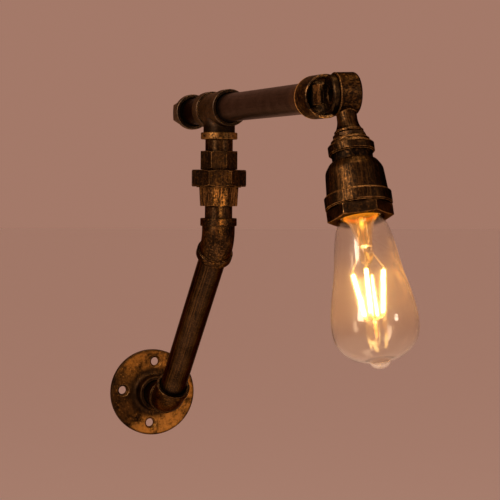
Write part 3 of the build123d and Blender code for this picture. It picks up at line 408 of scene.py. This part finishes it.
def bulb_glow(k, t, r):
    # painted light: warm light painted into the wall level with the filaments, with brighter streaks on one side that
    # are painted reflections of the filaments
    pos = k.obj()
    near = k.math("MULTIPLY", k.step(t, 0.100, 0.124), k.step(t, 0.143, 0.160, 1.0, 0.12))
    run = k.noise(k.vec("MULTIPLY", pos, (1.0, 1.0, 0.16)), 260.0, 4.0, 0.6)
    one = k.step(k.vec("DOT_PRODUCT", k.vec("SUBTRACT", pos, (0.0, -0.505, 0.11)), (0.92, -0.38, 0.0)), 0.010, 0.021)
    patch = k.math("MULTIPLY", k.math("MULTIPLY", one, k.step(run, 0.42, 0.62)), k.step(t, 0.128, 0.142, 1.0, 0.0))
    return k.math("MULTIPLY_ADD", k.math("MULTIPLY", patch, k.step(t, 0.094, 0.108)), 0.16, k.math("MULTIPLY", near, 0.038))


paint("bulb_glass", glass("bulb_glass", (0.985, 0.945, 0.875), 0.0, ((1.0, 0.42, 0.06), bulb_glow), haze=0.42, smoke=75.0))
# painted light: the stem glows amber at its root, as if lit by the filaments
paint("bulb_stem", glass("bulb_stem", (0.98, 0.88, 0.68), 0.02,
                         ((1.0, 0.38, 0.005), lambda k, t, r: k.math("MULTIPLY", k.step(t, 0.0832, 0.0868, 1.0, 0.10), 0.40)),
                         ((1.0, 0.42, 0.03), 0.0845, 0.0885)))


def glow_rod():
    k = Tree("m_bulb_filaments")
    pos = k.obj()
    t, r, unit, run = k.axis(pos, PIV, HEAD)
    n = k.noise(k.vec("SCALE", run, scale=1.0), 900.0, 2.0, 0.5)
    ends = k.math("MULTIPLY", k.step(t, 0.1176, 0.1205), k.step(t, 0.1448, 0.1477, 1.0, 0.0))
    col = k.mix(ends, (1.0, 0.42, 0.08), (1.0, 0.62, 0.20))
    s = k.math("MULTIPLY", k.step(ends, 0.0, 1.0, 3.0, 34.0), k.step(n, 0.3, 0.7, 0.8, 1.2))
    k.surface(k.principled(Base_Color=(1.0, 0.75, 0.4), Roughness=0.5, Emission_Color=col, Emission_Strength=s))
    return k.mat


paint("bulb_filaments", glow_rod())



def lit_wire(name, col_a, col_b, glow):
    """Metal close to the filaments: it picks up their light, so it carries a little warm light of its own."""
    k = Tree("m_" + name)
    pos = k.obj()
    n = k.noise(pos, 700.0, 4.0, 0.6)
    col = k.mix(k.step(n, 0.35, 0.65), col_a, col_b)
    k.surface(k.principled(Base_Color=col, Metallic=1.0, Roughness=k.step(n, 0.3, 0.7, 0.4, 0.2), Emission_Color=(1.0, 0.52, 0.14),
                           Emission_Strength=k.step(n, 0.45, 0.62, glow * 0.25, glow)))
    return k.mat


paint("bulb_supports", lit_wire("bulb_supports", (0.5, 0.36, 0.2), (0.8, 0.66, 0.42), 1.0))


def ring_mesh(name, p0, d, profile, n=48):
    """Solid of revolution from (radius, distance) pairs about the axis (p0, d), in metres."""
    x = HINGE if abs(d.dot(HINGE)) < 0.5 else UP
    y = d.cross(x).normalized()
    x = y.cross(d).normalized()
    verts, faces = [], []
    for i in range(n):
        a = 2 * math.pi * i / n
        e = x * math.cos(a) + y * math.sin(a)
        for rr, t in profile:
            verts.append(p0 + d * t + e * rr)
    m = len(profile)
    for i in range(n):
        j = (i + 1) % n
        for q in range(m - 1):
            faces.append((i * m + q, i * m + q + 1, j * m + q + 1, j * m + q))
    me = bpy.data.meshes.new(name)
    me.from_pydata([tuple(v) for v in verts], [], faces)
    me.validate()
    me.update()
    for f in me.polygons:
        f.use_smooth = True
    o = bpy.data.objects.new(name, me)
    scene.collection.objects.link(o)
    return o


def tube(name, pts, rr, mat, body, n=16):
    """Round wire through the points, in metres, riding on a body."""
    cu = bpy.data.curves.new(name, "CURVE")
    cu.dimensions = "3D"
    cu.bevel_depth = rr
    cu.bevel_resolution = 4
    cu.use_fill_caps = True
    sp = cu.splines.new("POLY")
    sp.points.add(len(pts) - 1)
    for q, v in zip(sp.points, pts):
        q.co = (*v, 1.0)
    o = bpy.data.objects.new(name, cu)
    scene.collection.objects.link(o)
    o.data.materials.append(mat)
    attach(o, body)
    return o


SIDE = HEAD.cross(HINGE).normalized()


def at(rr, ang, t):
    a = math.radians(ang)
    return PIV + HEAD * t + HINGE * (rr * math.cos(a)) + SIDE * (rr * math.sin(a))


wire_mat = lit_wire("lead_wires", (0.45, 0.30, 0.15), (0.8, 0.6, 0.35), 1.2)
for s_, a_ in (("a", 15.0), ("b", 195.0)):
    tube("lead_wire_" + s_, [at(0.0030, a_, 0.0835), at(0.0029, a_, 0.090), at(0.0026, a_ + 8, 0.0955), at(0.0034, a_ + 4, 0.0972),
                             at(0.0030, a_, 0.099), at(0.0026, a_, 0.1035)], 0.00032, wire_mat, "bulb")
exhaust = ring_mesh("exhaust_tube", PIV, HEAD, [(0.0, 0.0832), (0.0016, 0.0832), (0.0017, 0.090), (0.0016, 0.1025), (0.0, 0.1032)], 24)
# painted light: the exhaust tube glows warm along its lower part, as if lit by the filaments
exhaust.data.materials.append(glass("exhaust_tube", (1.0, 0.9, 0.72), 0.02,
                                    ((1.0, 0.50, 0.09), lambda k, t, r: k.math("MULTIPLY", k.step(t, 0.087, 0.093, 1.0, 0.0), 1.3))))
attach(exhaust, "bulb")
end_rod = ring_mesh("lower_rod", PIV, HEAD, [(0.0, 0.1503), (0.0014, 0.1503), (0.0013, 0.156), (0.0011, 0.1612), (0.0, 0.1618)], 24)
# painted light: the lower rod glows warm, as if lit by the filaments
end_rod.data.materials.append(glass("lower_rod", (1.0, 0.8, 0.5), 0.05,
                                    ((1.0, 0.45, 0.10), lambda k, t, r: k.math("MULTIPLY", k.step(t, 0.150, 0.162, 1.0, 0.5), 0.8))))
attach(end_rod, "bulb")

# ------------------------------------------------------------------ stage, light, camera
floor_mat = Tree("m_floor")
fn = floor_mat.noise(floor_mat.obj(), 3.0, 2.0, 0.5)
floor_mat.surface(floor_mat.principled(Base_Color=floor_mat.mix(fn, (0.955, 0.955, 0.955), (0.965, 0.965, 0.965)), Roughness=0.9))
bpy.ops.mesh.primitive_plane_add(size=120.0, location=(0.0, 0.0, -1.10))
floor = bpy.context.object
floor.name = "floor"
floor.data.materials.append(floor_mat.mat)

world = bpy.data.worlds.new("studio")
scene.world = world
world.use_nodes = True
bg = world.node_tree.nodes["Background"]
bg.inputs["Color"].default_value = (0.370, 0.192, 0.140, 1.0)
bg.inputs["Strength"].default_value = 1.0


def area(name, loc, target, size, power, color=(1.0, 0.76, 0.58)):
    d = bpy.data.lights.new(name, "AREA")
    d.shape = "RECTANGLE"
    d.size, d.size_y = size
    d.energy = power
    d.color = color
    o = bpy.data.objects.new(name, d)
    scene.collection.objects.link(o)
    o.location = loc
    o.rotation_mode = "QUATERNION"
    o.rotation_quaternion = (Vector(target) - Vector(loc)).to_track_quat("-Z", "Y")
    o.visible_camera = False
    return o


C = (0.0, -0.25, 0.12)
area("key", (-1.9, -1.5, 1.15), C, (0.65, 1.2), 58.0)
area("strip", (1.05, -1.9, 0.7), C, (0.30, 0.35), 8.0)
area("top", (0.1, -0.5, 2.2), C, (1.4, 0.8), 24.0)
area("bulb_light", (0.005, -0.455, 0.12), (0.0, -0.19, 0.14), (0.05, 0.07), 0.20, (1.0, 0.62, 0.28))

cam_data = bpy.data.cameras.new("camera")
cam = bpy.data.objects.new("camera", cam_data)
scene.collection.objects.link(cam)
YAW, PITCH, ROLL = math.radians(18.134), math.radians(1.739), math.radians(0.469)
w = Vector((math.sin(YAW) * math.cos(PITCH), math.cos(YAW) * math.cos(PITCH), -math.sin(PITCH)))
r0 = Vector((math.cos(YAW), -math.sin(YAW), 0.0))
u0 = r0.cross(w)
r = r0 * math.cos(ROLL) + u0 * math.sin(ROLL)
u = u0 * math.cos(ROLL) - r0 * math.sin(ROLL)
cam.matrix_world = Matrix(((r.x, u.x, -w.x, -0.4584), (r.y, u.y, -w.y, -1.6714), (r.z, u.z, -w.z, 0.1761), (0, 0, 0, 1)))
cam_data.sensor_width = 36.0
cam_data.lens = 144.0
cam_data.clip_start = 0.05
cam_data.clip_end = 100.0
cam_data.dof.use_dof = False
scene.camera = cam
scene.view_settings.view_transform = "Standard"
scene.view_settings.look = "None"
